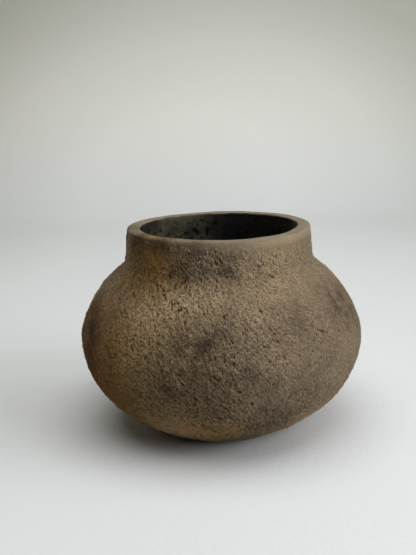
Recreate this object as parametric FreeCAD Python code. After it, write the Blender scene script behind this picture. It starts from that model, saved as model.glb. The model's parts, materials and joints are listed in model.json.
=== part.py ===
"""A coil-built clay pot: floor disc, wall coils, neck collar, lip and a gritty slip coat.

Every piece is a ring of clay turned about the Z axis, except the floor disc, which is solid. The origin
is at the centre of the flat foot, with +Z up. The pieces meet face to face on their luted joints.
"""

import FreeCAD, Part
import math
import os
from collections import namedtuple

# Driving dimensions, in millimetres and degrees
TOTAL_HEIGHT = 129.5
BELLY_RADIUS = 90.0  # the widest ring, outside the coat
BELLY_HEIGHT = 61.0
LOWER_WALL_RADIUS = 91.0  # radius of the arc from the foot to the lower belly
LOWER_BELLY_RADIUS = 55.0
LOWER_BELLY_TURN = 45.0  # how far that arc turns, down from the widest ring
UPPER_BELLY_RADIUS = 25.0
UPPER_BELLY_TURN = 17.0
SHOULDER_RADIUS = 70.0  # radius of the arc from the upper belly to the neck
NECK_BASE_RADIUS = 59.9
RIM_RADIUS = 57.8
MOUTH_RADIUS = 50.0
NECK_FILLET = 8.0

WALL = 8.2  # clay and coat together
COAT = 1.2
COURSES = 10  # wall coils from the floor disc to the neck
LAP = 4.0  # how far each coil runs down inside the one below
FLOOR_EDGE = 6.5  # bare rounded edge of the floor disc, outside its flat foot
COLLAR_SEAT_DROP = 1.2  # the collar's seat slopes down by this towards the mouth

RIM_HEIGHT = 5.5
RIM_LAP = 1.5
RIM_OUTER_ROUND = 1.8
RIM_INNER_ROUND = 1.0

SEAM_REACH = 5.0  # half width of the coil pressed over the floor seam
SEAM_RISE = 2.0
FILLET_COIL_LEG = 4.5  # how far the neck's corner coil reaches up and out
FILLET_COIL_HOLLOW = 0.5

AXIS = FreeCAD.Vector(0, 0, 1)


def spot(radius, height):
    """A point of an outline, in the half plane where every outline is drawn."""
    return FreeCAD.Vector(radius, 0, height)


def heading(angle):
    """The unit vector that leans by angle above level, away from the axis."""
    return spot(math.cos(angle), math.sin(angle))


# The outside is four arcs that run into each other without a corner, from the foot to the neck. A point
# of it is named by its angle: how far its outward normal leans above level, in radians.
WallArc = namedtuple("WallArc", "centre radius end")


def arc_beside(arc, radius, angle):
    """Centre of an arc of another radius that leaves the given arc smoothly at that angle."""
    return arc.centre + heading(angle) * (arc.radius - radius)


def wall_arcs():
    """The four arcs, lowest first, each with the angle where it ends."""
    down = -math.radians(LOWER_BELLY_TURN)
    up = math.radians(UPPER_BELLY_TURN)
    lower_belly = WallArc(spot(BELLY_RADIUS - LOWER_BELLY_RADIUS, BELLY_HEIGHT), LOWER_BELLY_RADIUS, 0.0)
    upper_belly = WallArc(spot(BELLY_RADIUS - UPPER_BELLY_RADIUS, BELLY_HEIGHT), UPPER_BELLY_RADIUS, up)
    lower_wall = WallArc(arc_beside(lower_belly, LOWER_WALL_RADIUS, down), LOWER_WALL_RADIUS, down)
    shoulder = WallArc(arc_beside(upper_belly, SHOULDER_RADIUS, up), SHOULDER_RADIUS, math.pi / 2)
    return [lower_wall, lower_belly, upper_belly, shoulder]


ARCS = wall_arcs()
LOWER_WALL, SHOULDER = ARCS[0], ARCS[-1]
FOOT_ANGLE = -math.asin(LOWER_WALL.centre.z / LOWER_WALL.radius)
NECK_ANGLE = math.acos((NECK_BASE_RADIUS - SHOULDER.centre.x) / SHOULDER.radius)


def wall_point(angle, depth=0.0):
    """The point of the wall at that angle, depth below the outside."""
    arc = next(a for a in ARCS if angle <= a.end)
    return arc.centre + heading(angle) * (arc.radius - depth)


def angle_along(distance):
    """The angle of the outside point that lies that far along the outline from the foot."""
    start = FOOT_ANGLE
    for arc in ARCS:
        reach = arc.radius * (arc.end - start)
        if distance <= reach:
            return start + distance / arc.radius
        distance -= reach
        start = arc.end
    return start


def wall_length():
    """Length of the outside from the foot to the neck."""
    stops = [FOOT_ANGLE] + [arc.end for arc in ARCS[:-1]] + [NECK_ANGLE]
    return sum(arc.radius * (b - a) for arc, a, b in zip(ARCS, stops, stops[1:]))


def line(a, b):
    return Part.LineSegment(a, b).toShape()


def bow(a, middle, b):
    """An arc of a circle through three points."""
    return Part.Arc(a, middle, b).toShape()


def wall_edges(start, end, depth):
    """The wall's outline between two angles at one depth, in one edge for each arc it runs along."""
    stops = [start] + [arc.end for arc in ARCS if start < arc.end < end] + [end]
    return [
        bow(wall_point(a, depth), wall_point((a + b) / 2, depth), wall_point(b, depth))
        for a, b in zip(stops, stops[1:])
    ]


def turned(edges):
    """The solid that a closed outline makes when it is turned once about the axis."""
    wire = Part.Wire(Part.__sortEdges__(edges))
    return Part.Face(wire).revolve(FreeCAD.Vector(0, 0, 0), AXIS, 360)


# The neck is a straight cone from the shoulder to the rim
NECK_FOOT = wall_point(NECK_ANGLE)
NECK_RUN = (spot(RIM_RADIUS, TOTAL_HEIGHT) - NECK_FOOT).normalize()
NECK_OUT = spot(NECK_RUN.z, -NECK_RUN.x)


def neck_meets(radius, shift):
    """Where the neck's line, moved out by shift, crosses a circle about the shoulder's centre."""
    start = NECK_FOOT + NECK_OUT * shift
    away = start - SHOULDER.centre
    half = away.dot(NECK_RUN)
    return start + NECK_RUN * (math.sqrt(half**2 - away.dot(away) + radius**2) - half)


def neck_point(height, depth=0.0):
    """The point of the neck at that height, depth inside its outside."""
    foot = NECK_FOOT - NECK_OUT * depth
    return foot + NECK_RUN * ((height - foot.z) / NECK_RUN.z)


def angle_at(point):
    """The angle of a point over the shoulder."""
    away = point - SHOULDER.centre
    return math.atan2(away.z, away.x)


FLOOR_ANGLE = angle_along(FLOOR_EDGE)  # where the floor disc ends and the coat begins
FLOOR_CORNER_ANGLE = angle_along(FLOOR_EDGE - LAP)
FLOOR_CORNER = wall_point(FLOOR_CORNER_ANGLE, WALL)  # the inside corner between floor and wall
COLLAR_FOOT = neck_meets(SHOULDER.radius - COAT, -COAT)  # the outside corner, under the coat
COLLAR_FOOT_ANGLE = angle_at(COLLAR_FOOT)
MOUTH_ANGLE = math.acos((MOUTH_RADIUS - SHOULDER.centre.x) / (SHOULDER.radius - WALL))
COLLAR_SEAT = spot(MOUTH_RADIUS, COLLAR_FOOT.z - COLLAR_SEAT_DROP)
RIM_FOOT_HEIGHT = TOTAL_HEIGHT - RIM_HEIGHT
RIM_SEAT = spot(MOUTH_RADIUS, RIM_FOOT_HEIGHT - RIM_LAP)


def course_stations():
    """Distances along the outside where the wall coils meet, from the floor disc to the neck."""
    rise = (wall_length() - FLOOR_EDGE) / COURSES
    return [FLOOR_EDGE + i * rise for i in range(COURSES + 1)]


def base_disc():
    """The floor slab: a flat foot, a bare rounded edge and a bevel that the first coil laps."""
    under_coat = wall_point(FLOOR_ANGLE, COAT)
    middle = spot(0, FLOOR_CORNER.z)
    outside = [line(spot(0, 0), wall_point(FOOT_ANGLE))] + wall_edges(FOOT_ANGLE, FLOOR_ANGLE, 0)
    bevel = [line(wall_point(FLOOR_ANGLE), under_coat), line(under_coat, FLOOR_CORNER)]
    return turned(outside + bevel + [line(FLOOR_CORNER, middle), line(middle, spot(0, 0))])


def base_seam_coil():
    """The thin coil pressed over the seam between the floor disc and the first wall coil."""
    on_floor = FLOOR_CORNER - spot(SEAM_REACH, 0)
    end = angle_along(FLOOR_EDGE - LAP + SEAM_REACH)
    on_wall = wall_point(end, WALL)
    crown = (on_floor + on_wall) * 0.5 + spot(0, SEAM_RISE)
    under = [line(on_floor, FLOOR_CORNER)] + wall_edges(FLOOR_CORNER_ANGLE, end, WALL)
    return turned(under + [bow(on_wall, crown, on_floor)])


def wall_course(index):
    """One wall coil. It laps the coil below on the inside, and is lapped by the one above."""
    stations = course_stations()
    start, end = stations[index], stations[index + 1]
    low = [angle_along(start), angle_along(start - LAP)]
    high = [angle_along(end), angle_along(end - LAP)]
    return turned(
        wall_edges(low[0], high[0], COAT)
        + [line(wall_point(high[0], COAT), wall_point(high[1], WALL))]
        + wall_edges(low[1], high[1], WALL)
        + [line(wall_point(low[1], WALL), wall_point(low[0], COAT))]
    )


def top_course():
    """The last wall coil, which runs in to the mouth and carries the collar."""
    start = course_stations()[-2]
    low = [angle_along(start), angle_along(start - LAP)]
    lip = wall_point(MOUTH_ANGLE, WALL)
    return turned(
        wall_edges(low[0], COLLAR_FOOT_ANGLE, COAT)
        + [line(COLLAR_FOOT, COLLAR_SEAT), line(COLLAR_SEAT, lip)]
        + wall_edges(low[1], MOUTH_ANGLE, WALL)
        + [line(wall_point(low[1], WALL), wall_point(low[0], COAT))]
    )


def neck_collar():
    """The collar that stands on the shoulder, with a straight bore for its inside."""
    shoulder_of_rim = neck_point(RIM_FOOT_HEIGHT, COAT)
    return turned(
        [
            line(COLLAR_SEAT, COLLAR_FOOT),
            line(COLLAR_FOOT, shoulder_of_rim),
            line(shoulder_of_rim, RIM_SEAT),
            line(RIM_SEAT, COLLAR_SEAT),
        ]
    )


def rounded(before, corner, after, radius):
    """Start, middle and end of the arc that rounds a corner of an outline."""
    back = (before - corner).normalize()
    on = (after - corner).normalize()
    half = back.getAngle(on) / 2
    inward = (back + on).normalize()
    middle = corner + inward * (radius / math.sin(half) - radius)
    reach = radius / math.tan(half)
    return corner + back * reach, middle, corner + on * reach


def rim_coil():
    """The lip: a coil wiped flat on top, with its two edges rubbed round."""
    under_coat = neck_point(RIM_FOOT_HEIGHT, COAT)
    outside = neck_point(RIM_FOOT_HEIGHT)
    corner = neck_point(TOTAL_HEIGHT)
    mouth = spot(MOUTH_RADIUS, TOTAL_HEIGHT)
    outer = rounded(outside, corner, mouth, RIM_OUTER_ROUND)
    inner = rounded(corner, mouth, RIM_SEAT, RIM_INNER_ROUND)
    return turned(
        [
            line(RIM_SEAT, under_coat),
            line(under_coat, outside),
            line(outside, outer[0]),
            bow(*outer),
            line(outer[2], inner[0]),
            bow(*inner),
            line(inner[2], RIM_SEAT),
        ]
    )


FILLET_COIL_TOP = COLLAR_FOOT + NECK_RUN * FILLET_COIL_LEG
FILLET_COIL_ANGLE = COLLAR_FOOT_ANGLE - FILLET_COIL_LEG / (SHOULDER.radius - COAT)


def fillet_coil_face():
    """The hollow outside face of the corner coil, which the coat lies on."""
    low = wall_point(FILLET_COIL_ANGLE, COAT)
    middle = (FILLET_COIL_TOP + low) * 0.5
    inward = (COLLAR_FOOT - middle).normalize()
    return bow(FILLET_COIL_TOP, middle + inward * FILLET_COIL_HOLLOW, low)


def neck_fillet_coil():
    """The thin coil pressed into the outside corner between collar and shoulder."""
    return turned(
        wall_edges(FILLET_COIL_ANGLE, COLLAR_FOOT_ANGLE, COAT)
        + [line(COLLAR_FOOT, FILLET_COIL_TOP), fillet_coil_face()]
    )


def grit_coat():
    """The coarse slip over the whole outside, from the floor disc's edge to the lip."""
    centre = neck_meets(SHOULDER.radius + NECK_FILLET, NECK_FILLET)
    sweep_end = angle_at(centre)
    on_neck = centre - NECK_OUT * NECK_FILLET
    on_shoulder = wall_point(sweep_end)
    inward = ((on_neck + on_shoulder) * 0.5 - centre).normalize()
    rim_out = neck_point(RIM_FOOT_HEIGHT)
    rim_in = neck_point(RIM_FOOT_HEIGHT, COAT)
    outside = wall_edges(FLOOR_ANGLE, sweep_end, 0) + [
        bow(on_shoulder, centre + inward * NECK_FILLET, on_neck),
        line(on_neck, rim_out),
    ]
    backing = wall_edges(FLOOR_ANGLE, FILLET_COIL_ANGLE, COAT) + [
        fillet_coil_face(),
        line(FILLET_COIL_TOP, rim_in),
    ]
    ends = [line(rim_out, rim_in), line(wall_point(FLOOR_ANGLE), wall_point(FLOOR_ANGLE, COAT))]
    return turned(outside + ends + backing)


def all_pieces():
    """Every piece by its node name."""
    pieces = {"base_disc": base_disc(), "base_seam_coil": base_seam_coil()}
    for i in range(COURSES - 1):
        pieces[f"wall_course_{i + 1:02d}"] = wall_course(i)
    pieces[f"wall_course_{COURSES:02d}"] = top_course()
    pieces["neck_fillet_coil"] = neck_fillet_coil()
    pieces["neck_collar"] = neck_collar()
    pieces["rim_coil"] = rim_coil()
    pieces["grit_coat"] = grit_coat()
    return pieces


os.makedirs("parts", exist_ok=True)
for node, piece in all_pieces().items():
    if not (piece.isValid() and piece.ShapeType == "Solid"):
        raise SystemExit(f"{node} isn't one valid solid")
    piece.exportStep(f"parts/{node}.step")
    box = piece.optimalBoundingBox(False)
    print(f"{node}: {piece.Volume / 1000:.1f} cm3, z {box.ZMin:.2f} to {box.ZMax:.2f}, r {box.XMax:.2f}")
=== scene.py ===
"""The looks of a coil-built clay pot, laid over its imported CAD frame.

Every ring of clay is rebuilt from the frame's own shape at a fine pitch, with the marks of the hand that
made it: dragged grit outside, a wiped lip, and coil ridges, scrapes and soot inside. Shapes are worked out
in millimetres and turned into metres as each mesh is made.
"""

import json
import math
import bmesh
import bpy
import numpy as np
from mathutils import Euler, Matrix, Vector


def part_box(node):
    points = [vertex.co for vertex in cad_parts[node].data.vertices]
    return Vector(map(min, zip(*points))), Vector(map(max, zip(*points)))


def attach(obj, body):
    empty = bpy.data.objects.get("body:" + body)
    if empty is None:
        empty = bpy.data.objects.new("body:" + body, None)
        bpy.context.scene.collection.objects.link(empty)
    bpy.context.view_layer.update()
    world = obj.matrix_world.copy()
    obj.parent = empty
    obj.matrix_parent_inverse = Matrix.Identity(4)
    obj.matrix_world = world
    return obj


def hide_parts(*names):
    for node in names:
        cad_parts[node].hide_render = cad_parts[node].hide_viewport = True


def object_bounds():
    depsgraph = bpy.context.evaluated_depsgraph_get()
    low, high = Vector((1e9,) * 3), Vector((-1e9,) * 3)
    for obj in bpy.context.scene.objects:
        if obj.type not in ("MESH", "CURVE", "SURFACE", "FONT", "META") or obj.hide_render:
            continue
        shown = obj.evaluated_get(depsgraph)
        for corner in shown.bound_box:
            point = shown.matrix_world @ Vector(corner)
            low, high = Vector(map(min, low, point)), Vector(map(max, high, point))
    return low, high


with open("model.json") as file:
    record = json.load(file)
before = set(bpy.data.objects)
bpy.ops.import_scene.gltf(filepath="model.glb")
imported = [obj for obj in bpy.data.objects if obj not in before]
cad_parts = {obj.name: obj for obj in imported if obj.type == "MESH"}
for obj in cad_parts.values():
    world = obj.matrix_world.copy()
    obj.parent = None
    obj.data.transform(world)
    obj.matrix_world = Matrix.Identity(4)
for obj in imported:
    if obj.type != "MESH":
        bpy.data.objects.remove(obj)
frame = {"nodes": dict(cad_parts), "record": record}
CAD_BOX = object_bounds()
MM = 0.001

# The pot's shape in millimetres, the same driving dimensions as the CAD model
TOTAL_HEIGHT = CAD_BOX[1].z / MM
BELLY_RADIUS = CAD_BOX[1].x / MM
MOUTH_RADIUS = next(m["dims"]["r_mm"] for m in frame["record"]["mounts"] if m["name"] == "mouth")
RIM_FOOT_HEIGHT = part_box("grit_coat")[1].z / MM
RIM_SEAT_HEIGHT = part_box("rim_coil")[0].z / MM
COLLAR_SEAT_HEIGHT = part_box("neck_collar")[0].z / MM
BELLY_HEIGHT = 61.0
LOWER_WALL_RADIUS = 91.0
LOWER_BELLY_RADIUS = 55.0
LOWER_BELLY_TURN = 45.0
UPPER_BELLY_RADIUS = 25.0
UPPER_BELLY_TURN = 17.0
SHOULDER_RADIUS = 70.0
NECK_BASE_RADIUS = 59.9
RIM_RADIUS = 57.8
NECK_FILLET = 8.0
WALL = 8.2  # thickness, with the coat
COAT = 1.2
COURSES = 10
LAP = 4.0  # how far a coil's inside lies below its outside, along the wall
FLOOR_EDGE = 6.5  # from the foot along the outside to the top of the floor disc's edge
SEAM_REACH = 5.0
SEAM_RISE = 2.0
FOOT_ROUND = 2.0  # reach of the foot's rubbed edge, under the floor and up the wall
COLLAR_START = 1.2  # height over its seat where the collar's outside starts
OUTER_LIP_ROUND = 1.1
INNER_LIP_ROUND = 0.9

# Torn places in the coat: degrees round from the front and height where each starts and ends
TEARS = [
    (-36, 105, -14, 93),
    (38, 82, 47, 73),
    (-118, 96, -100, 88),
    (150, 92, 172, 80),
    (92, 70, 104, 61),
]
TEAR_WIDTH = 0.7
TEAR_WANDER = 2.2
TEAR_REACH = 30  # furthest from a tear's start, in height, that it's worked out
FLAP_OFFSET = 2.0  # the flap is the coat pushed up along the upper side of a tear
FLAP_WIDTH = 1.5
FLAP_HEIGHT = 0.55

# Relief of the other marks
GRAIN_STRETCH = 1.8  # a grain's smear along the streaks, for its size
GRAIN_MEAN = 0.42  # taken off the grains' height, so that the coat keeps its thickness
PIT_DEPTH = 0.5
COIL_RIDGE = 0.22
SCRAPED_PIT_DEPTH = 0.9

TUCK = 0.08  # how far each visible surface runs on under its neighbour's, so that no joint gapes
STREAK_SLOPE = -55.0  # degrees, of the marks dragged across the outside; inside and on the lip they're level
INSIDE_GRIT = 0.2  # fine grit on the surfaces that face inwards, as a share of the outside's
HIDDEN_SHARE = 0.1  # texture space for each millimetre of a hidden surface, where a visible one has 1

# How far out of round the pot is: oval and three-sided as shares of its radius, and the lip's rise and dip
OVAL = 0.0012
THREE_SIDED = 0.0010
LIP_SWAY = 0.25

# Mesh pitch in millimetres
FINE = 0.52
MEDIUM = 1.2
COARSE = 4.0


# ---------------------------------------------------------------------------------------------------------
# Outline of the wall: points are rows of (radius, height)


def heading(angle):
    """Unit vectors at angles up from straight outwards."""
    return np.stack([np.cos(angle), np.sin(angle)], -1)


def wall_arcs():
    """Centre, radius, start angle and end angle of the four arcs from the foot to the neck."""
    down, up = -math.radians(LOWER_BELLY_TURN), math.radians(UPPER_BELLY_TURN)
    low_centre = np.array([BELLY_RADIUS - LOWER_BELLY_RADIUS, BELLY_HEIGHT])
    high_centre = np.array([BELLY_RADIUS - UPPER_BELLY_RADIUS, BELLY_HEIGHT])
    wall_centre = low_centre + heading(down) * (LOWER_BELLY_RADIUS - LOWER_WALL_RADIUS)
    shoulder_centre = high_centre + heading(up) * (UPPER_BELLY_RADIUS - SHOULDER_RADIUS)
    foot = -math.asin(wall_centre[1] / LOWER_WALL_RADIUS)
    neck = math.acos((NECK_BASE_RADIUS - shoulder_centre[0]) / SHOULDER_RADIUS)
    return [
        (wall_centre, LOWER_WALL_RADIUS, foot, down),
        (low_centre, LOWER_BELLY_RADIUS, down, 0.0),
        (high_centre, UPPER_BELLY_RADIUS, 0.0, up),
        (shoulder_centre, SHOULDER_RADIUS, up, neck),
    ]


ARCS = wall_arcs()
ARC_ENDS = np.cumsum([radius * (end - start) for _, radius, start, end in ARCS])
WALL_LENGTH = ARC_ENDS[-1]
SHOULDER_CENTRE, _, _, NECK_TURN = ARCS[-1]
COURSE_RISE = (WALL_LENGTH - FLOOR_EDGE) / COURSES


def wall_point(along, depth):
    """The wall's points at distances along the outside from the foot, at a depth below it."""
    along = np.atleast_1d(along)
    which = np.minimum(np.searchsorted(ARC_ENDS, along), len(ARCS) - 1)
    points = np.empty((len(along), 2))
    for i, (centre, radius, _, end) in enumerate(ARCS):
        mine = which == i
        angle = end - (ARC_ENDS[i] - along[mine]) / radius
        points[mine] = centre + heading(angle) * (radius - depth)
    return points


def spaced(start, end, pitch):
    """Numbers from start to end, no further apart than pitch."""
    return np.linspace(start, end, max(2, math.ceil(abs(end - start) / pitch) + 1))


def resampled(points, pitch):
    """The same line with evenly spaced points."""
    reach = np.r_[0, np.cumsum(np.linalg.norm(np.diff(points, axis=0), axis=1))]
    stops = spaced(0, reach[-1], pitch)
    return np.stack([np.interp(stops, reach, points[:, k]) for k in (0, 1)], -1)


def normals_of(points):
    """Unit normals along a line, to the right of its direction."""
    along = np.gradient(points, axis=0)
    along /= np.linalg.norm(along, axis=1, keepdims=True)
    return np.stack([along[:, 1], -along[:, 0]], -1)


def bend(start, corner, end, count):
    """A smooth bend from start to end that is drawn towards the corner between them."""
    t = np.linspace(0, 1, count)[:, None]
    return (1 - t) ** 2 * start + 2 * t * (1 - t) * corner + t**2 * end


NECK_FOOT = wall_point(WALL_LENGTH, 0)[0]
NECK_RUN = np.array([RIM_RADIUS, TOTAL_HEIGHT]) - NECK_FOOT
NECK_RUN /= np.linalg.norm(NECK_RUN)
NECK_OUT = np.array([NECK_RUN[1], -NECK_RUN[0]])


def neck_point(height, depth=0.0):
    """The neck's points at heights, at a depth inside its outside."""
    foot = NECK_FOOT - NECK_OUT * depth
    return foot + NECK_RUN * ((np.atleast_1d(height) - foot[1]) / NECK_RUN[1])[:, None]


# ---------------------------------------------------------------------------------------------------------
# Marks of the hand, as fields over points in space, in millimetres

# Large numbers that scramble a lattice cell's place and the seed into the cell's own slope
CELL_SCRAMBLE = (73856093, 19349663, 83492791)
SEED_SCRAMBLE = 2654435
LAST_SCRAMBLE = 1274126177
SEED_SHIFT = 7.31
NOISE_GAIN = 1.6
SMEAR_TAPS = 5
SMEAR_GAIN = 1.5


def lattice_slopes(spot, seed):
    """An unchanging random slope for each lattice cell: its turn, its level share and its rise."""
    x, y, z = (spot[:, axis] * CELL_SCRAMBLE[axis] for axis in range(3))
    mixed = x ^ y ^ z ^ (seed * SEED_SCRAMBLE)
    mixed = (mixed ^ (mixed >> 13)) * LAST_SCRAMBLE & 0x7FFFFFFF
    turn = (mixed & 0xFFFF) * (2 * math.pi / 0x10000)
    rise = ((mixed >> 16) & 0x7FFF) * (2 / 0x7FFF) - 1
    return turn, np.sqrt(1 - rise * rise), rise


def lattice_noise(points, size, seed, height=1.0):
    """Smooth noise between about -height and height, with features about size millimetres across."""
    where = points / size + seed * SEED_SHIFT
    cell = np.floor(where).astype(np.int64)
    t = where - cell
    fade = t * t * t * (t * (t * 6 - 15) + 10)
    total = np.zeros(len(points))
    for corner in np.ndindex(2, 2, 2):
        turn, flat, rise = lattice_slopes(cell + corner, seed)
        away = t - corner
        slope = (away[:, 0] * np.cos(turn) + away[:, 1] * np.sin(turn)) * flat + away[:, 2] * rise
        weight = np.where(corner, fade, 1 - fade).prod(axis=1)
        total += weight * slope
    return total * NOISE_GAIN * height


def smooth_step(low, high, value):
    """0 up to low and 1 from high on, with a smooth rise between them."""
    t = np.clip((value - low) / (high - low), 0, 1)
    return t * t * (3 - 2 * t)


def dragged(points, streak, size, reach, seed, height=1.0):
    """Noise smeared along the streak directions, as grit is by a hand or a stiff brush."""
    steps = np.linspace(-0.5, 0.5, SMEAR_TAPS) * reach
    total = sum(lattice_noise(points + streak * step, size, seed) for step in steps)
    return total / SMEAR_TAPS * SMEAR_GAIN * height


def azimuth_of(points):
    """Degrees round the pot from the front, positive to the right."""
    return np.degrees(np.arctan2(points[:, 0], -points[:, 1]))


def over_foot(points):
    """0 on the flat foot, which stays flat, rising to 1 a little above it."""
    return smooth_step(0, 2.5, points[:, 2])


def dents(points):
    """The soft unevenness that fingers leave, shared by every surface of the pot."""
    broad = lattice_noise(points, size=26, seed=2, height=0.30)
    small = lattice_noise(points, size=13, seed=3, height=0.16)
    return (broad + small) * over_foot(points)


def wiped_relief(points, streak):
    """Height of clay that was wiped smooth, over its true surface."""
    wipes = dragged(points, streak, size=1.3, reach=14, seed=91, height=0.05)
    return wipes + lattice_noise(points, size=4, seed=96, height=0.05)


def tears(points):
    """Depth of the torn places in the coat, each along a wandering, broken line from its start to its end."""
    turn, height = azimuth_of(points), points[:, 2]
    depth = np.zeros(len(points))
    for start_turn, start_height, end_turn, end_height in TEARS:
        share = np.clip((turn - start_turn) / (end_turn - start_turn), -0.1, 1.1)
        reached = abs(height - start_height) < TEAR_REACH
        near = np.flatnonzero((share > -0.1) & (share < 1.1) & reached)
        line = start_height + (end_height - start_height) * share[near]
        wander = lattice_noise(points[near], size=5, seed=301, height=TEAR_WANDER)
        away = height[near] - line + wander
        broken = smooth_step(-0.3, 0.3, lattice_noise(points[near], size=3.5, seed=311))
        ends = smooth_step(-0.1, 0.15, share[near]) * smooth_step(1.1, 0.85, share[near])
        groove = np.exp(-((away / TEAR_WIDTH) ** 2))
        flap = np.exp(-(((away - FLAP_OFFSET) / FLAP_WIDTH) ** 2)) * FLAP_HEIGHT
        depth[near] += (groove - flap) * broken * ends
    return depth


def grains(points, streak, size, seed, height):
    """Rounded grains with sharp creases between them, drawn out along the streaks, from 0 up."""
    return abs(dragged(points, streak, size, GRAIN_STRETCH * size, seed)) * height


def coarseness(points):
    """How coarse the coat is: scrubbed smoother on two sides than on the other two, and coarser low down."""
    usual, by_side, by_height, scrub_turn = 0.95, 0.30, 0.30, 22
    sides = by_side * np.cos(2 * np.radians(azimuth_of(points) + scrub_turn))
    low = by_height * (1 - smooth_step(15, 60, points[:, 2]))
    return usual + sides + low + lattice_noise(points, size=28, seed=41, height=0.25)


def below_lip(points):
    """0 on the wiped lip, rising to 1 where the coarse coat begins, lowest down on the right."""
    narrowest, widening, widest_turn = 4.0, 9.0, 65
    side = np.cos(np.radians(azimuth_of(points) - widest_turn))
    ragged = lattice_noise(points, size=9, seed=45, height=2.5)
    band = narrowest + widening * smooth_step(-0.2, 1, side) + ragged
    return smooth_step(0.5, band, TOTAL_HEIGHT - points[:, 2])


def outside_relief(points, streak):
    """Height of the gritty coat over its true surface, dying away into the wiped lip."""
    fine = grains(points, streak, size=0.95, seed=11, height=1.35)
    coarse = grains(points, streak, size=2.1, seed=15, height=0.42)
    dust = lattice_noise(points, size=1.0, seed=21, height=0.12)
    pits = smooth_step(0.5, 0.8, dragged(points, streak, size=1.8, reach=2.4, seed=31)) * -PIT_DEPTH
    grit = (fine + coarse + dust + pits - GRAIN_MEAN) * coarseness(points) - tears(points)
    share = below_lip(points)
    return (wiped_relief(points, streak) * (1 - share) + grit * share) * over_foot(points)


def inside_relief(points, streak):
    """Height of the scraped inside over its true surface, with the coils still showing as soft ridges."""
    sway = lattice_noise(points, size=30, seed=55)
    coils = np.cos(2 * math.pi * points[:, 2] / COURSE_RISE + sway) * COIL_RIDGE
    scrapes = dragged(points, streak, size=2.6, reach=16, seed=61, height=0.16)
    dust = lattice_noise(points, size=2.4, seed=71, height=0.10)
    patches = lattice_noise(points, size=5, seed=81) + lattice_noise(points, size=1.8, seed=82, height=0.3)
    pits = smooth_step(0.40, 0.65, patches) * -SCRAPED_PIT_DEPTH
    scraped = coils + scrapes + dust + pits
    share = below_lip(points)
    return wiped_relief(points, streak) * (1 - share) + scraped * share


def lip_relief(points, streak):
    """The lip's face: the coat's relief outside the mouth, the inside's on the bore, wiped on top."""
    radius = np.linalg.norm(points[:, :2], axis=1)
    outward = smooth_step(MOUTH_RADIUS + 0.6, MOUTH_RADIUS + 2, radius)
    return outside_relief(points, streak) * outward + inside_relief(points, streak) * (1 - outward)


# ---------------------------------------------------------------------------------------------------------
# Meshes


def tucked(points):
    """The line with each end run on a little under the next piece's surface, unless it's on the axis."""
    normals = normals_of(points)
    first = points[0] - (points[1] - points[0]) * 0.3 - normals[0] * TUCK
    last = points[-1] + (points[-1] - points[-2]) * 0.3 - normals[-1] * TUCK
    return np.vstack([first] * int(points[0, 0] > 1) + [points] + [last] * int(points[-1, 0] > 1))


class Run:
    """A stretch of a ring's outline. It goes round with the clay on its left, so its normals face the air.

    relief gives the surface its marks. Only the hidden stretches, inside the wall, have none.
    """

    def __init__(self, points, relief=None):
        self.points = tucked(points) if relief else points
        self.normals = normals_of(self.points) if relief else None
        self.relief = relief


def turned_points(run, angles):
    """The run's points all round the pot, by point and angle, with what each point carries.

    That is its streak direction, its relief, and how gritty it is: 1 on the coarse coat, INSIDE_GRIT on the
    scraped inside and 0 on the wiped lip.
    """
    count = len(run.points)
    c, s = np.cos(angles), np.sin(angles)
    out = np.stack([np.tile(c, (count, 1)), np.tile(s, (count, 1)), np.zeros((count, len(angles)))], -1)
    up = np.array([0.0, 0.0, 1.0])
    flat = out * run.points[:, :1, None] + up * run.points[:, 1:, None]
    if run.relief is None:
        nothing = np.zeros((count, len(angles)))
        return flat, np.zeros_like(flat), nothing, nothing
    normal = out * run.normals[:, :1, None] + up * run.normals[:, 1:, None]
    level = np.stack([-out[..., 1], out[..., 0], out[..., 2]], -1)
    rising = np.cross(normal, level)
    spots = flat.reshape(-1, 3)
    outward = run.normals[:, :1]
    steep = math.radians(STREAK_SLOPE) * smooth_step(0, 0.3, outward)
    slope = steep + lattice_noise(spots, size=40, seed=5, height=0.3).reshape(count, -1)
    streak = level * np.cos(slope)[..., None] + rising * np.sin(slope)[..., None]
    relief = run.relief(spots, streak.reshape(-1, 3))
    height = (relief + dents(spots)).reshape(count, -1, 1)
    share = INSIDE_GRIT + (1 - INSIDE_GRIT) * smooth_step(-0.3, 0.3, outward)
    gritty = below_lip(spots).reshape(count, -1) * share
    return flat + normal * height, streak, relief.reshape(count, -1), gritty


def wobble(points):
    """Moves points as the whole pot is a little out of round, as handmade ones are."""
    turn = np.arctan2(points[:, 1], points[:, 0])
    rise = points[:, 2] / TOTAL_HEIGHT
    swell = OVAL * np.cos(2 * turn + 0.7) + THREE_SIDED * np.cos(3 * turn + 4 * rise) * rise
    moved = points * np.stack([1 + swell, 1 + swell, np.ones(len(points))], -1)
    moved[:, 2] += LIP_SWAY * rise**4 * np.cos(2 * turn - 1.0)
    return moved


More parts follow.
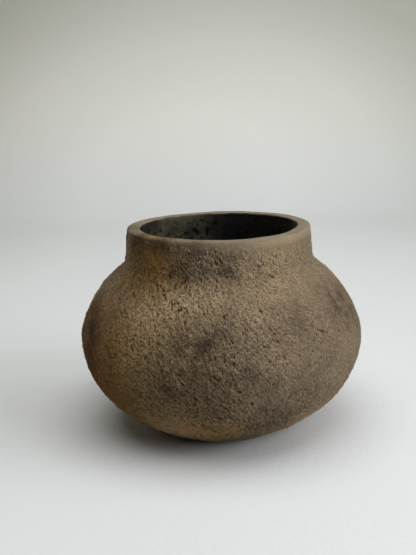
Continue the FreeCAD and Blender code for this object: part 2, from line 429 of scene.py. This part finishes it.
def ring(name, runs, around, closed=True):
    """A piece of the pot: its outline's runs turned about the axis, joined by straight faces.

    An outline that isn't closed starts and ends on the axis.
    """
    angles = np.arange(around) * (2 * math.pi / around)
    shapes = [turned_points(run, angles) for run in runs]
    grid, streak, relief, gritty = (np.concatenate(part) for part in zip(*shapes))
    rows = len(grid)
    smooth = [np.r_[np.full(len(run.points) - 1, run.relief is not None), False] for run in runs]
    within = np.concatenate(smooth)

    outline = np.concatenate([run.points for run in runs])
    share = np.concatenate([np.full(len(run.points), 1.0 if run.relief else HIDDEN_SHARE) for run in runs])
    length = np.linalg.norm(np.diff(outline, axis=0, append=outline[:1]), axis=1) * share
    v = np.r_[0, np.cumsum(length)] / length.sum()

    low = np.arange(rows if closed else rows - 1)
    high = (low + 1) % rows
    side = np.arange(around)
    after = (side + 1) % around
    corner = [
        (low[:, None] * around + side).ravel(),
        (low[:, None] * around + after).ravel(),
        (high[:, None] * around + after).ravel(),
        (high[:, None] * around + side).ravel(),
    ]
    faces = np.stack(corner, -1)
    u = np.stack([side, side + 1, side + 1, side], -1) / around
    uv = np.empty((len(low), around, 4, 2))
    uv[..., 0] = u
    uv[..., 1] = np.stack([v[low], v[low], v[low + 1], v[low + 1]], -1)[:, None, :]

    mesh = bpy.data.meshes.new(name)
    points = wobble(grid.reshape(-1, 3)) * MM
    mesh.vertices.add(len(points))
    mesh.vertices.foreach_set("co", points.ravel())
    mesh.loops.add(faces.size)
    mesh.loops.foreach_set("vertex_index", faces.ravel())
    mesh.polygons.add(len(faces))
    mesh.polygons.foreach_set("loop_start", np.arange(len(faces)) * 4)
    mesh.update(calc_edges=True)
    mesh.polygons.foreach_set("use_smooth", np.repeat(within[low], around))
    mesh.uv_layers.new(name="OFBake").data.foreach_set("uv", uv.ravel())
    mesh.attributes.new("relief", "FLOAT", "POINT").data.foreach_set("value", relief.ravel())
    mesh.attributes.new("gritty", "FLOAT", "POINT").data.foreach_set("value", gritty.ravel())
    mesh.attributes.new("streak", "FLOAT_VECTOR", "POINT").data.foreach_set("vector", streak.ravel())
    if not closed:
        weld_poles(mesh)
    mesh.validate()
    piece = bpy.data.objects.new(name, mesh)
    bpy.context.scene.collection.objects.link(piece)
    return piece


def weld_poles(mesh):
    """Joins the points that lie on the axis, where an open outline starts and ends."""
    work = bmesh.new()
    work.from_mesh(mesh)
    on_axis = [v for v in work.verts if v.co.xy.length < 1e-7]
    bmesh.ops.remove_doubles(work, verts=on_axis, dist=1e-6)
    work.to_mesh(mesh)
    work.free()


# ---------------------------------------------------------------------------------------------------------
# The pieces


def segments(radius, pitch):
    """How many faces of that pitch go round a ring."""
    return int(round(2 * math.pi * radius / pitch / 4)) * 4


def wall_along(start, end, depth, pitch):
    """The wall's line between two distances from the foot, at a depth below the outside."""
    return wall_point(spaced(start, end, pitch), depth)


def level_line(start, end, height, pitch):
    """A level line from one radius to another."""
    radii = spaced(start, end, pitch)
    return np.stack([radii, np.full(len(radii), height)], -1)


def upright_line(radius, heights):
    """A line straight up or down through heights."""
    return np.stack([np.full(len(heights), radius), heights], -1)


INSIDE_AROUND = segments(BELLY_RADIUS - WALL, MEDIUM)
FLOOR_CORNER = wall_point(FLOOR_EDGE - LAP, WALL)[0]
COAT_AROUND = segments(BELLY_RADIUS, FINE)


def coat_outside():
    """The coat's outside, from the floor disc's edge over the neck's hollow corner to the lip."""
    start = NECK_FOOT + NECK_OUT * NECK_FILLET - SHOULDER_CENTRE
    half = start @ NECK_RUN
    climb = math.sqrt(half**2 - start @ start + (SHOULDER_RADIUS + NECK_FILLET) ** 2) - half
    centre = NECK_FOOT + NECK_OUT * NECK_FILLET + NECK_RUN * climb
    away = centre - SHOULDER_CENTRE
    turn = math.atan2(away[1], away[0])
    leave = WALL_LENGTH - SHOULDER_RADIUS * (NECK_TURN - turn)
    neck_turn = math.pi + math.atan2(NECK_OUT[1], NECK_OUT[0])
    hollow = centre + heading(np.linspace(turn + math.pi, neck_turn, 12)[1:]) * NECK_FILLET
    body = wall_along(FLOOR_EDGE, leave, depth=0, pitch=0.5)
    return np.concatenate([body, hollow, neck_point(RIM_FOOT_HEIGHT)])


def grit_coat():
    """The coat, dragged on over the wall and the collar."""
    outside = resampled(coat_outside(), FINE)
    rough_line = resampled(outside, COARSE)
    backing = (rough_line - normals_of(rough_line) * COAT)[::-1]
    return ring("grit_coat_dragged", [
        Run(outside, outside_relief),
        Run(backing),
    ], COAT_AROUND)


def base_disc():
    """The slab under the pot, with its bare edge worn round and its top scraped."""
    foot = wall_point(0, 0)[0]
    underside = level_line(0, foot[0] - FOOT_ROUND, height=0, pitch=2.5)
    worn = bend(underside[-1], foot, wall_point(FOOT_ROUND, 0)[0], 6)
    edge = wall_along(FOOT_ROUND, FLOOR_EDGE, depth=0, pitch=1)
    top = level_line(FLOOR_CORNER[0], 0, FLOOR_CORNER[1], MEDIUM)
    return ring("base_disc_worn", [
        Run(np.concatenate([underside, worn[1:], edge[1:]]), outside_relief),
        Run(wall_point(FLOOR_EDGE, COAT)),
        Run(top, inside_relief),
    ], COAT_AROUND // 2, closed=False)


def course_name(index):
    """The CAD node of a wall coil, counted from 0 at the foot."""
    return f"wall_course_{index + 1:02d}"


def wall_course(index):
    """A coil of the wall, whose inside lies lower than its outside by the lap of its sloping joints."""
    start = FLOOR_EDGE + index * COURSE_RISE
    end = start + COURSE_RISE
    inside = wall_along(end - LAP, start - LAP, WALL, MEDIUM)
    return ring(f"{course_name(index)}_scraped", [
        Run(wall_along(start, end, COAT, COARSE)),
        Run(inside, inside_relief),
    ], INSIDE_AROUND)


def top_course():
    """The last coil, whose inside turns up into the mouth over a rubbed edge."""
    start = WALL_LENGTH - COURSE_RISE
    inner_radius = SHOULDER_RADIUS - WALL
    mouth_turn = math.acos((MOUTH_RADIUS - SHOULDER_CENTRE[0]) / inner_radius)
    first_turn = NECK_TURN - (COURSE_RISE + LAP) / SHOULDER_RADIUS
    under = SHOULDER_CENTRE + heading(spaced(mouth_turn, first_turn, MEDIUM / inner_radius)) * inner_radius
    edge = np.array([MOUTH_RADIUS, under[0, 1]])
    seat = np.array([MOUTH_RADIUS, COLLAR_SEAT_HEIGHT])
    rubbed = bend(seat, edge, under[1], 5)
    return ring(f"{course_name(COURSES - 1)}_scraped", [
        Run(wall_along(start, WALL_LENGTH, COAT, COARSE)),
        Run(np.concatenate([rubbed, under[2:]]), inside_relief),
    ], INSIDE_AROUND)


def seam_coil():
    """The thin coil pressed over the inside seam of the floor."""
    on_floor = FLOOR_CORNER - np.array([SEAM_REACH, 0])
    on_wall = wall_point(FLOOR_EDGE - LAP + SEAM_REACH, WALL)[0]
    crown = (on_floor + on_wall) / 2 + np.array([0, 2 * SEAM_RISE])
    under = wall_along(FLOOR_EDGE - LAP, FLOOR_EDGE - LAP + SEAM_REACH, WALL, pitch=2)
    return ring("base_seam_coil_pressed", [
        Run(np.concatenate([[on_floor], under])),
        Run(bend(on_wall, crown, on_floor, 12)[1:-1], inside_relief),
    ], INSIDE_AROUND)


def neck_collar():
    """The upright coil of the neck, hidden outside by the coat and scraped inside."""
    outside = neck_point(np.array([COLLAR_SEAT_HEIGHT + COLLAR_START, RIM_FOOT_HEIGHT]), COAT)
    bore = upright_line(MOUTH_RADIUS, spaced(RIM_SEAT_HEIGHT, COLLAR_SEAT_HEIGHT, MEDIUM))
    return ring("neck_collar_scraped", [
        Run(outside),
        Run(bore, inside_relief),
    ], COAT_AROUND)


def rim_coil():
    """The lip, flat on top, with its outer edge rubbed rounder than its inner one."""
    corner = neck_point(TOTAL_HEIGHT)[0]
    mouth = np.array([MOUTH_RADIUS, TOTAL_HEIGHT])
    across = np.array([1.0, 0])
    outer = bend(corner - NECK_RUN * OUTER_LIP_ROUND, corner, corner - across * OUTER_LIP_ROUND, 5)
    inner = bend(mouth + across * INNER_LIP_ROUND, mouth, mouth - np.array([0, INNER_LIP_ROUND]), 4)
    face = np.concatenate([
        neck_point(spaced(RIM_FOOT_HEIGHT, TOTAL_HEIGHT - OUTER_LIP_ROUND, FINE))[:-1],
        outer,
        np.linspace(outer[-1], inner[0], 9)[1:-1],
        inner,
        upright_line(MOUTH_RADIUS, np.linspace(TOTAL_HEIGHT - INNER_LIP_ROUND, RIM_SEAT_HEIGHT, 7)[1:]),
    ])
    return ring("rim_coil_wiped", [
        Run(face, lip_relief),
        Run(neck_point(RIM_FOOT_HEIGHT, COAT)),
    ], COAT_AROUND)


# ---------------------------------------------------------------------------------------------------------
# Materials. Lengths are in metres and colours linear; a ramp is a list of (position, colour)

SLIP_TINTS = [
    (0.30, (0.550, 0.418, 0.270)),
    (0.52, (0.630, 0.479, 0.312)),
    (0.75, (0.710, 0.541, 0.357)),
]
# Painted shade in the creases between the grains and painted highlights on their crests, from the bump's own
# field
GRIT_PAINTED_SHADE = [(0.07, (0.17, 0.15, 0.13)), (0.26, (0.84, 0.83, 0.82)), (0.70, (1.26, 1.26, 1.25))]
# Painted shade where the relief is low, in creases and pits, and painted highlights where it is high
PAINTED_CREASE_SHADE = [(0.0, (0.30, 0.27, 0.25)), (0.35, (0.88, 0.87, 0.86)), (1.0, (1.12, 1.12, 1.11))]
SMOOTH_SHADE = (0.39, 0.388, 0.358)  # the slip where it was wiped and shows no grit
SMALL_GROG = (0.30, 0.25, 0.18)
LARGE_GROG = (0.52, 0.46, 0.36)
RUBBED_FOOT = (0.30, 0.235, 0.16)
WIPED_TINTS = [(0.3, (0.172, 0.139, 0.089)), (0.7, (0.230, 0.190, 0.127))]
SMEAR_TINTS = [(0.35, (0.15, 0.120, 0.080)), (0.65, (0.29, 0.24, 0.175))]
SOOT_TINTS = [
    (0.34, (0.006, 0.005, 0.003)),
    (0.50, (0.050, 0.043, 0.026)),
    (0.68, (0.135, 0.116, 0.072)),
]
BLACK = (0.002, 0.002, 0.002)
# Painted shadow: a black cloud inside the neck, at the back right
PAINTED_SHADOW_SPOT = (0.035, 0.045, 0.12)  # inside the neck, at the back right
PAPER_TINTS = [(0.0, (0.680, 0.700, 0.712)), (1.0, (0.715, 0.720, 0.675))]
PAPER_MOTTLE = [(0.3, (0.985, 0.985, 0.985)), (0.7, (1, 1, 1))]
# Painted light on the paper: brightest by the pot and greying away from it
PAPER_PAINTED_FALLOFF = [
    (0.12, (1, 1, 1)),
    (0.26, (0.87, 0.87, 0.86)),
    (0.41, (0.61, 0.61, 0.58)),
    (0.80, (0.40, 0.40, 0.38)),
]

DUST_SIZE = 0.0006
DUST_SHARE = 0.3
GRIT_SIZES = (0.0007, 0.0011)
GRIT_SMEAR = 1.2  # from tap to tap of the noise along the streaks, as a share of the grain's size
TAPS_MEAN = 1.5  # of the three taps together, each from 0 to 1
GRIT_REACH = 0.0070  # the distance that the bump gives the grit
SMOOTH_GRIT = 0.04  # share of the fine grit that is left where the clay was wiped
SPECULAR = 0.25


class Tree:
    """A material's node tree, with one call for each node and the fields that the clay's materials share."""

    def __init__(self, name):
        self.material = bpy.data.materials.new(name)
        self.material.use_nodes = True
        self.nodes = self.material.node_tree.nodes
        self.links = self.material.node_tree.links
        self.nodes.clear()
        self.place = self.add("TexCoord").outputs["Object"]

    def field(self, name, output="Fac"):
        """A value that the mesh carries at its points."""
        return self.add("Attribute", attribute_name=name).outputs[output]

    def add_clay_fields(self):
        """relief and gritty as the mesh carries them, and fine grit smeared along the mesh's streaks."""
        self.relief, self.gritty = self.field("relief"), self.field("gritty")
        streak = self.field("streak", "Vector")
        total = self.math("MULTIPLY", self.noise(DUST_SIZE, detail=2), DUST_SHARE)
        for size in GRIT_SIZES:
            taps = 0.0
            for shift in (-GRIT_SMEAR * size, 0.0, GRIT_SMEAR * size):
                place = self.add("VectorMath", {0: streak, 1: (shift,) * 3, 2: self.place},
                                 operation="MULTIPLY_ADD").outputs[0]
                taps = self.math("ADD", self.noise(size, detail=1, place=place), taps)
            grains = self.math("ABSOLUTE", self.math("SUBTRACT", taps, TAPS_MEAN))
            total = self.math("ADD", total, grains)
        self.grit = total
        fade = self.math("ADD", self.math("MULTIPLY", self.gritty, 1 - SMOOTH_GRIT), SMOOTH_GRIT)
        self.bump = self.math("MULTIPLY", total, fade)
        return self

    def add(self, kind, inputs=None, **settings):
        """A node of that kind. inputs maps a socket's name or number to a value or an output."""
        node = self.nodes.new("ShaderNode" + kind)
        for key, value in settings.items():
            setattr(node, key, value)
        for key, value in (inputs or {}).items():
            if isinstance(value, bpy.types.NodeSocket):
                self.links.new(value, node.inputs[key])
            else:
                node.inputs[key].default_value = value
        return node

    def noise(self, size, detail=3.0, roughness=0.55, place=None):
        """Noise from 0 to 1 with features about size metres across."""
        return self.add("TexNoise", {
            "Vector": place or self.place, "Scale": 1 / size, "Detail": detail, "Roughness": roughness,
        }).outputs["Fac"]

    def uneven(self, size, low, high):
        """A value that wanders between low and high, in patches about size metres across."""
        return self.between(self.noise(size), 0.3, 0.7, low, high)

    def warped(self, scale, detail, reach, centre=None):
        """The place pushed about by noise, by up to reach metres, and not at all where it is centre."""
        push = self.add("TexNoise", {"Vector": self.place, "Scale": scale, "Detail": detail}).outputs["Color"]
        if centre:
            push = self.add("VectorMath", {0: push, 1: centre}, operation="SUBTRACT").outputs[0]
        moved = self.add("VectorMath", {0: push, 1: (reach,) * 3, 2: self.place}, operation="MULTIPLY_ADD")
        return moved.outputs[0]

    def ramp(self, value, stops):
        """A colour ramp through (position, colour) stops."""
        node = self.add("ValToRGB", {"Fac": value})
        elements = node.color_ramp.elements
        while len(elements) < len(stops):
            elements.new(0.5)
        for element, (position, colour) in zip(elements, stops):
            element.position = position
            element.color = (*colour, 1)
        return node.outputs["Color"]

    def between(self, value, low, high, start=0.0, end=1.0):
        """value moved from the range low..high to start..end, smoothly and clamped."""
        return self.add("MapRange", {
            "Value": value, "From Min": low, "From Max": high, "To Min": start, "To Max": end,
        }, interpolation_type="SMOOTHSTEP").outputs["Result"]

    def math(self, operation, a, b=0.0):
        """A Math node's result. Some operations use only the first value."""
        return self.add("Math", {0: a, 1: b}, operation=operation).outputs[0]

    def mix(self, factor, a, b, blend="MIX"):
        """Colour a with colour b laid over it by factor, in a Mix node's way."""
        node = self.add("Mix", {"Factor": factor}, data_type="RGBA", blend_type=blend)
        for key, value in ((6, a), (7, b)):
            if isinstance(value, bpy.types.NodeSocket):
                self.links.new(value, node.inputs[key])
            else:
                node.inputs[key].default_value = (*value, 1)
        return node.outputs[2]

    def finish(self, colour, roughness, height):
        """Closes the tree as a matt surface, with height as a fine bump."""
        bump = self.add("Bump", {"Height": height, "Strength": 1.0, "Distance": GRIT_REACH})
        shader = self.add("BsdfPrincipled", {
            "Base Color": colour, "Roughness": roughness, "Specular IOR Level": SPECULAR,
            "Normal": bump.outputs["Normal"],
        })
        self.add("OutputMaterial", {"Surface": shader.outputs[0]})
        return self.material


# What the fire left on the coat, with painted shade and painted light: the colour each multiplies by at full
# strength, and its soft clouds, each with its degrees round from the front, height, radius and strength
SMOKE_AND_SHADE, SCORCH_AND_SHADE, ASH_AND_PAINTED_LIGHT = (0.38, 0.340, 0.350), (0.80, 0.62, 0.34), (1.90, 1.85, 1.75)
STAINS_AND_PAINTED_LIGHT = [
    # Smoke stains; the clouds over the left side and along the left of the lip are painted shade, away from
    # the light
    (SMOKE_AND_SHADE, [
        (-62, 66, 22, 0.80),
        (-72, 78, 26, 0.75),
        (-68, 46, 20, 1.00),
        (-58, 127, 16, 0.70),
        (-86, 127, 20, 0.80),
        (-36, 128, 14, 0.65),
        (-14, 128, 13, 0.40),
        (74, 82, 30, 0.50),
        (-21, 114, 9, 0.60),
        (60, 88, 22, 0.50),
        (34, 90, 20, 0.32),
        (-20, 54, 15, 0.40),
        (0, 40, 15, 0.20),
        (30, 28, 90, 0.28),
        (-10, 66, 34, 0.30),
        (-5, 80, 13, 0.75),
        (10, 64, 10, 0.40),
        (20, 28, 22, 0.28),
        (-14, 78, 14, 0.30),
        (4, 115, 10, 0.60),
        (-135, 62, 40, 0.80),
        (175, 96, 26, 0.60),
        (118, 50, 36, 0.60),
        (148, 112, 22, 0.50),
    ]),
    # Some scorch, and painted warm shade over the left side, away from the light, and low on the front
    (SCORCH_AND_SHADE, [
        (-45, 116, 36, 1.05),
        (-45, 40, 95, 0.55),
        (-62, 46, 60, 1.00),
        (0, 16, 40, 0.45),
        (-20, 112, 14, 0.20),
        (140, 30, 80, 0.35),
        (-110, 100, 40, 0.40),
    ]),
    # Pale ash, and painted light: floor bounce low on the belly and top light on the shoulder
    (ASH_AND_PAINTED_LIGHT, [
        (50, 14, 34, 1.20),
        (-30, 90, 34, 0.75),
        (-38, 64, 22, 0.35),
        (-36, 114, 12, 0.60),
        (4, 26, 26, 0.55),
        (-20, 18, 36, 1.10),
        (20, 100, 34, 0.40),
        (-8, 98, 22, 0.50),
        (20, 64, 22, 0.30),
        (38, 116, 34, 0.35),
        (180, 60, 34, 0.60),
        (100, 92, 30, 0.50),
        (-100, 20, 34, 0.80),
    ]),
]


def outside_at(height):
    """Radius of the outside at a height, in millimetres."""
    line = coat_outside()
    return float(np.interp(height, line[:, 1], line[:, 0]))


def fire_and_light_tone(tree, colour):
    """The colour with fire stains, painted shade and painted light on it, in soft ragged clouds."""
    ragged = tree.warped(scale=110.0, detail=5.0, reach=0.02, centre=(0.5, 0.5, 0.5))
    patches = tree.noise(0.010, detail=6, roughness=0.7)
    mottle = tree.between(patches, 0.36, 0.64, start=0.35, end=1.65)
    for stain_and_light, clouds in STAINS_AND_PAINTED_LIGHT:
        total = 0.0
        for azimuth, height, radius, strength in clouds:
            turn = math.radians(azimuth)
            out = outside_at(height)
            centre = (out * math.sin(turn) * MM, -out * math.cos(turn) * MM, height * MM)
            gap = tree.add("VectorMath", {0: ragged, 1: centre}, operation="DISTANCE").outputs["Value"]
            cloud = tree.between(gap, 0, radius * MM, start=strength, end=0)
            total = tree.math("ADD", cloud, total)
        if stain_and_light == SMOKE_AND_SHADE:
            total = tree.math("MULTIPLY", total, mottle)
        left = tree.add("CombineXYZ", {i: tree.math("POWER", part, total) for i, part in enumerate(stain_and_light)})
        colour = tree.mix(1.0, colour, left.outputs[0], "MULTIPLY")
    return colour


def specks(tree, spacing, size, rarity):
    """Small round grains, 1 on a grain: spacing and size in metres, and the share of cells with none."""
    ragged = tree.warped(scale=900.0, detail=1.0, reach=0.0012)
    cells = tree.add("TexVoronoi", {"Vector": ragged, "Scale": 1 / spacing, "Randomness": 1.0})
    dot = tree.between(cells.outputs["Distance"], size / spacing, 0.6 * size / spacing)
    chosen = tree.add("SeparateColor", {"Color": cells.outputs["Color"]}).outputs["Red"]
    return tree.math("MULTIPLY", dot, tree.math("GREATER_THAN", chosen, rarity))


def slip_colour(tree):
    """The gritty slip: taupe clay with painted highlights on its grains and painted shade in its creases,
    clouds of fire stains, painted shade and painted light, and pale grog.
    """
    tint = tree.ramp(tree.noise(0.02, detail=5), SLIP_TINTS)
    # painted shade and painted highlights on the grit
    grit = tree.ramp(tree.grit, GRIT_PAINTED_SHADE)
    # painted shade in the low relief and painted highlights on the high
    creases = tree.ramp(tree.between(tree.relief, -0.55, 0.50), PAINTED_CREASE_SHADE)
    rough = tree.mix(tree.gritty, SMOOTH_SHADE, tree.mix(1.0, creases, grit, "MULTIPLY"))
    colour = fire_and_light_tone(tree, tree.mix(1.0, tint, rough, "MULTIPLY"))
    colour = tree.mix(specks(tree, spacing=0.0045, size=0.0007, rarity=0.85), colour, SMALL_GROG)
    return tree.mix(specks(tree, spacing=0.014, size=0.0010, rarity=0.60), colour, LARGE_GROG)


def wiped_colour(tree):
    """The wiped lip: paler and finer, with faint marks along the rim."""
    wipe = tree.add("Mapping", {"Vector": tree.place, "Scale": (1, 1, 9)}).outputs[0]
    tint = tree.ramp(tree.noise(0.009, detail=4, place=wipe), WIPED_TINTS)
    smears = tree.ramp(tree.noise(0.0013, detail=2), SMEAR_TINTS)
    return fire_and_light_tone(tree, tree.mix(0.35, tint, smears))


def soot_colour(tree):
    """The smoked inside: charcoal with browner and greyer patches and black blots, pits blackened as painted
    shade, and a painted shadow at the back right of the neck.
    """
    tint = tree.ramp(tree.noise(0.024, detail=4, roughness=0.5), SOOT_TINTS)
    gap = tree.add("VectorMath", {0: tree.place, 1: PAINTED_SHADOW_SPOT}, operation="DISTANCE").outputs["Value"]
    blots = tree.noise(0.007, detail=5, roughness=0.7)
    # painted shadow inside the neck, at the back right
    tint = tree.mix(tree.between(gap, 0.025, 0.06, start=0.9, end=0), tint, BLACK)
    tint = tree.mix(tree.between(blots, 0.54, 0.62, end=0.9), tint, BLACK)
    # black where the relief is deepest: painted shade in the pits
    return tree.mix(tree.between(tree.relief, -0.30, -0.75, end=0.95), tint, BLACK)


def grit_slip():
    """The coat's clay."""
    tree = Tree("grit_slip").add_clay_fields()
    return tree.finish(slip_colour(tree), tree.uneven(0.004, 0.82, 0.97), tree.bump)


def wiped_clay():
    """The lip's clay: slip outside, wiped on top, sooty down the inside."""
    tree = Tree("wiped_clay").add_clay_fields()
    axes = tree.add("SeparateXYZ", {"Vector": tree.place})
    level = tree.add("CombineXYZ", {"X": axes.outputs["X"], "Y": axes.outputs["Y"]}).outputs[0]
    radius = tree.add("VectorMath", {0: level}, operation="LENGTH").outputs["Value"]
    height = tree.math("ADD", axes.outputs["Z"], tree.uneven(0.008, -0.0003, 0.0003))
    top = TOTAL_HEIGHT * MM
    wipe_start, wipe_end = top - 0.0022, top - 0.0006
    soot_start, soot_end = top - 0.0001, top - 0.0011
    soot_edge, bore_edge = (MOUTH_RADIUS + 1.5) * MM, (MOUTH_RADIUS + 0.5) * MM
    wiped = tree.between(height, wipe_start, wipe_end)
    below = tree.between(height, soot_start, soot_end)
    inner = tree.between(radius, soot_edge, bore_edge)
    colour = tree.mix(wiped, slip_colour(tree), wiped_colour(tree))
    colour = tree.mix(tree.math("MULTIPLY", inner, below), colour, soot_colour(tree))
    return tree.finish(colour, tree.uneven(0.003, 0.74, 0.9), tree.bump)


def smoked_clay():
    """The clay of the whole inside."""
    tree = Tree("smoked_clay").add_clay_fields()
    return tree.finish(soot_colour(tree), tree.uneven(0.004, 0.7, 0.95), tree.bump)


def bare_clay():
    """The floor disc: rubbed brown clay under the foot, soot on the side that faces up inside."""
    tree = Tree("bare_clay").add_clay_fields()
    rise = tree.add("SeparateXYZ", {"Vector": tree.place}).outputs["Z"]
    soot_start, soot_end = 0.006, 0.0075  # heights, just under the floor's top
    inner = tree.between(rise, soot_start, soot_end)
    patches = tree.between(tree.noise(0.012, detail=4), 0.4, 0.7)
    rubbed = tree.mix(patches, slip_colour(tree), RUBBED_FOOT)
    colour = tree.mix(inner, rubbed, soot_colour(tree))
    return tree.finish(colour, tree.uneven(0.005, 0.7, 0.92), tree.bump)


# ---------------------------------------------------------------------------------------------------------
# Stage, lights and camera

LIGHT_AIM = Vector((0, 0, 0.06))


def backdrop_paint():
    """Cool white paper round the pot, warmer up the wall, with painted light that falls off to grey away from
    the pot.
    """
    tree = Tree("backdrop_paint")
    rise = tree.add("SeparateXYZ", {"Vector": tree.place}).outputs["Z"]
    paper = tree.ramp(tree.between(rise, 0.0, 0.2), PAPER_TINTS)
    # painted light, brightest by the pot and falling off across and up
    spread, brightest = (0.7, 0, 1), (-0.04, 0, 0.05)
    flat = tree.add("Mapping", {"Vector": tree.place, "Scale": spread}).outputs[0]
    away = tree.add("VectorMath", {0: flat, 1: brightest}, operation="DISTANCE").outputs["Value"]
    mottle = tree.ramp(tree.noise(0.4, detail=2), PAPER_MOTTLE)
    mottled_falloff = tree.mix(1.0, tree.ramp(away, PAPER_PAINTED_FALLOFF), mottle, "MULTIPLY")
    tooth = tree.math("MULTIPLY", tree.noise(0.004), 0.03)
    return tree.finish(tree.mix(1.0, paper, mottled_falloff, "MULTIPLY"), 0.9, tooth)


def backdrop():
    """A plain seamless sweep: floor, bend and wall in one sheet."""
    floor_start, floor_end, bend_radius, wall_top, half_width = -2.5, 0.75, 0.35, 2.2, 3.0
    turn = np.linspace(0, math.pi / 2, 17)
    line = [(floor_start, 0.0)]
    line += [(floor_end + bend_radius * math.sin(t), bend_radius * (1 - math.cos(t))) for t in turn]
    line += [(floor_end + bend_radius, wall_top)]
    vertices = [(x, y, z) for y, z in line for x in (-half_width, half_width)]
    faces = [(2 * i, 2 * i + 1, 2 * i + 3, 2 * i + 2) for i in range(len(line) - 1)]
    mesh = bpy.data.meshes.new("backdrop")
    mesh.from_pydata(vertices, [], faces)
    mesh.polygons.foreach_set("use_smooth", np.ones(len(faces), bool))
    sheet = bpy.data.objects.new("backdrop", mesh)
    bpy.context.scene.collection.objects.link(sheet)
    sheet.data.materials.append(backdrop_paint())


def soft_light(name, place, size, power, tint):
    """A round soft lamp that faces the pot."""
    lamp = bpy.data.lights.new(name, "AREA")
    lamp.shape = "DISK"
    lamp.size = size
    lamp.energy = power
    lamp.color = tint
    holder = bpy.data.objects.new(name, lamp)
    holder.location = place
    holder.rotation_euler = (LIGHT_AIM - Vector(place)).to_track_quat("-Z", "Y").to_euler()
    bpy.context.scene.collection.objects.link(holder)


def studio():
    """A broad window on the right, made of four lamps, a pale ceiling and a little warm fill on the left."""
    for name, place, size, power, tint in [
        ("window", (1.17, -0.67, 0.70), 1.0, 11.4, (1.0, 1.0, 1.0)),
        ("side_window", (1.70, 0.0, 0.95), 2.0, 7.0, (1.0, 1.0, 1.0)),
        ("high_window", (0.90, 0.0, 1.30), 0.9, 3.4, (1.0, 1.0, 1.0)),
        ("low_window", (1.40, 0.0, 0.30), 0.5, 4.2, (1.0, 1.0, 1.0)),
        ("ceiling", (-0.06, -0.20, 1.70), 1.9, 22.5, (1.0, 1.0, 0.98)),
        ("left_wall", (-1.35, 0.3, 0.70), 0.9, 1.6, (1.0, 0.85, 0.60)),
    ]:
        soft_light(name, place, size, power, tint)
    world = bpy.data.worlds.new("studio_air")
    world.use_nodes = True
    air = world.node_tree.nodes["Background"]
    air.inputs["Color"].default_value = (1.0, 0.98, 0.94, 1)
    air.inputs["Strength"].default_value = 0.01
    bpy.context.scene.world = world
    bpy.context.scene.view_settings.view_transform = "Standard"


def camera():
    """A normal lens half a metre off, looking a little down, and held not quite level."""
    down, left, roll = 13.65, 0.89, -1.56  # degrees
    lens = bpy.data.cameras.new("camera")
    lens.lens = 49.95
    lens.sensor_width = 36
    holder = bpy.data.objects.new("camera", lens)
    holder.location = (0, -0.4834, 0.2126)
    aim = Euler((math.radians(90 - down), 0, math.radians(left))).to_matrix()
    holder.rotation_euler = (aim @ Matrix.Rotation(math.radians(roll), 3, "Z")).to_euler()
    bpy.context.scene.collection.objects.link(holder)
    bpy.context.scene.camera = holder


# ---------------------------------------------------------------------------------------------------------
# The whole pot


def dress(piece, node, material):
    """Puts a piece in the place of its CAD node, with its material."""
    piece.data.materials.append(material)
    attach(piece, "root")
    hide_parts(node)


camera()
studio()
backdrop()

SMOKED = smoked_clay()
dress(base_disc(), "base_disc", bare_clay())
dress(seam_coil(), "base_seam_coil", SMOKED)
for course in range(COURSES - 1):
    dress(wall_course(course), course_name(course), SMOKED)
dress(top_course(), course_name(COURSES - 1), SMOKED)
dress(neck_collar(), "neck_collar", SMOKED)
dress(rim_coil(), "rim_coil", wiped_clay())
dress(grit_coat(), "grit_coat", grit_slip())
frame["nodes"]["neck_fillet_coil"].data.materials.clear()
frame["nodes"]["neck_fillet_coil"].data.materials.append(SMOKED)
